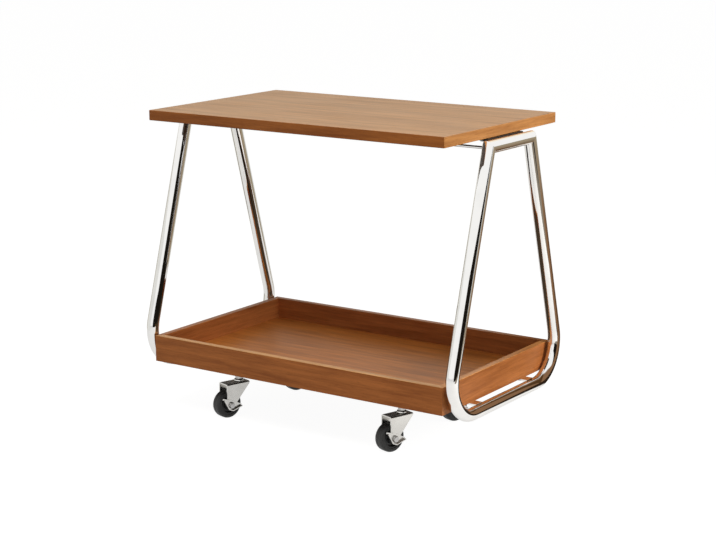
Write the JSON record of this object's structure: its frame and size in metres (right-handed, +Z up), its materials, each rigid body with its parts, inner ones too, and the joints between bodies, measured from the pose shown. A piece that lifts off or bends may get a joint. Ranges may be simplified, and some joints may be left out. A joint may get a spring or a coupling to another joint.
{
  "type": "rolling side table",
  "caption": "Rolling side table: a flat veneered top on two tapered chrome tube end frames, with a shallow veneered tray low down between them, on braked swivel casters.",
  "frame": {"origin": "on the floor below the middle of the table", "axes": "X along the table to the right, Y across it towards the back, Z up"},
  "size_m": [0.648, 0.37, 0.55],
  "materials": {
    "top_veneer": "satin lacquered walnut veneer",
    "tray_veneer": "satin lacquered walnut veneer",
    "plain_wood": "unfinished",
    "frame_chrome": "polished chrome plate",
    "dark_steel": "dark satin paint",
    "zinc_steel": "zinc plated",
    "caster_chrome": "bright plated pressed steel",
    "black_plastic": "moulded black",
    "black_tyre": "matt black"
  },
  "bodies": {
    "frame": {"top_panel": "top_veneer", "tray_front_wall": "tray_veneer", "tray_rear_wall": "tray_veneer", "tray_left_wall": "tray_veneer", "tray_right_wall": "tray_veneer", "tray_floor": "tray_veneer", "tray_corner_splines": "plain_wood", "left_frame_tube": "frame_chrome", "right_frame_tube": "frame_chrome", "front_tie_rod": "frame_chrome", "rear_tie_rod": "frame_chrome", "left_top_plate": "dark_steel", "right_top_plate": "dark_steel", "front_rail": "dark_steel", "rear_rail": "dark_steel", "foot_tabs": "frame_chrome", "top_screws": "zinc_steel", "tray_screws": "zinc_steel", "rail_nuts": "zinc_steel", "front_left_stem": "zinc_steel", "front_left_race_cup": "caster_chrome", "front_right_stem": "zinc_steel", "front_right_race_cup": "caster_chrome", "rear_left_stem": "zinc_steel", "rear_left_race_cup": "caster_chrome", "rear_right_stem": "zinc_steel", "rear_right_race_cup": "caster_chrome"},
    "front_left_caster": {"front_left_fork": "caster_chrome", "front_left_race_balls": "zinc_steel", "front_left_axle_bolt": "zinc_steel", "front_left_axle_nut": "zinc_steel"},
    "front_left_wheel": {"front_left_tyre": "black_tyre", "front_left_wheel_hub": "black_plastic", "front_left_wheel_bush": "zinc_steel"},
    "front_left_pedal": {"front_left_brake_pedal": "caster_chrome"},
    "front_right_caster": {"front_right_fork": "caster_chrome", "front_right_race_balls": "zinc_steel", "front_right_axle_bolt": "zinc_steel", "front_right_axle_nut": "zinc_steel"},
    "front_right_wheel": {"front_right_tyre": "black_tyre", "front_right_wheel_hub": "black_plastic", "front_right_wheel_bush": "zinc_steel"},
    "front_right_pedal": {"front_right_brake_pedal": "caster_chrome"},
    "rear_left_caster": {"rear_left_fork": "caster_chrome", "rear_left_race_balls": "zinc_steel", "rear_left_axle_bolt": "zinc_steel", "rear_left_axle_nut": "zinc_steel"},
    "rear_left_wheel": {"rear_left_tyre": "black_tyre", "rear_left_wheel_hub": "black_plastic", "rear_left_wheel_bush": "zinc_steel"},
    "rear_left_pedal": {"rear_left_brake_pedal": "caster_chrome"},
    "rear_right_caster": {"rear_right_fork": "caster_chrome", "rear_right_race_balls": "zinc_steel", "rear_right_axle_bolt": "zinc_steel", "rear_right_axle_nut": "zinc_steel"},
    "rear_right_wheel": {"rear_right_tyre": "black_tyre", "rear_right_wheel_hub": "black_plastic", "rear_right_wheel_bush": "zinc_steel"},
    "rear_right_pedal": {"rear_right_brake_pedal": "caster_chrome"}
  },
  "joints": [
    {"name": "front_left_swivel", "type": "hinge", "parent": "frame", "child": "front_left_caster", "pos_m": [-0.1735, -0.105, 0.063], "axis": [0, 0, 1], "continuous": true},
    {"name": "front_left_wheel_spin", "type": "hinge", "parent": "front_left_caster", "child": "front_left_wheel", "pos_m": [-0.18169, -0.1302, 0.025], "axis": [0.9511, -0.309, 0], "continuous": true},
    {"name": "front_left_brake", "type": "hinge", "parent": "front_left_caster", "child": "front_left_pedal", "pos_m": [-0.18169, -0.1302, 0.025], "axis": [0.9511, -0.309, 0], "range_deg": [0, 22]},
    {"name": "front_right_swivel", "type": "hinge", "parent": "frame", "child": "front_right_caster", "pos_m": [0.1735, -0.105, 0.063], "axis": [0, 0, 1], "continuous": true},
    {"name": "front_right_wheel_spin", "type": "hinge", "parent": "front_right_caster", "child": "front_right_wheel", "pos_m": [0.16531, -0.1302, 0.025], "axis": [0.9511, -0.309, 0], "continuous": true},
    {"name": "front_right_brake", "type": "hinge", "parent": "front_right_caster", "child": "front_right_pedal", "pos_m": [0.16531, -0.1302, 0.025], "axis": [0.9511, -0.309, 0], "range_deg": [0, 22]},
    {"name": "rear_left_swivel", "type": "hinge", "parent": "frame", "child": "rear_left_caster", "pos_m": [-0.1735, 0.105, 0.063], "axis": [0, 0, 1], "continuous": true},
    {"name": "rear_left_wheel_spin", "type": "hinge", "parent": "rear_left_caster", "child": "rear_left_wheel", "pos_m": [-0.18169, 0.0798, 0.025], "axis": [0.9511, -0.309, 0], "continuous": true},
    {"name": "rear_left_brake", "type": "hinge", "parent": "rear_left_caster", "child": "rear_left_pedal", "pos_m": [-0.18169, 0.0798, 0.025], "axis": [0.9511, -0.309, 0], "range_deg": [0, 22]},
    {"name": "rear_right_swivel", "type": "hinge", "parent": "frame", "child": "rear_right_caster", "pos_m": [0.1735, 0.105, 0.063], "axis": [0, 0, 1], "continuous": true},
    {"name": "rear_right_wheel_spin", "type": "hinge", "parent": "rear_right_caster", "child": "rear_right_wheel", "pos_m": [0.16531, 0.0798, 0.025], "axis": [0.9511, -0.309, 0], "continuous": true},
    {"name": "rear_right_brake", "type": "hinge", "parent": "rear_right_caster", "child": "rear_right_pedal", "pos_m": [0.16531, 0.0798, 0.025], "axis": [0.9511, -0.309, 0], "range_deg": [0, 22]}
  ]
}
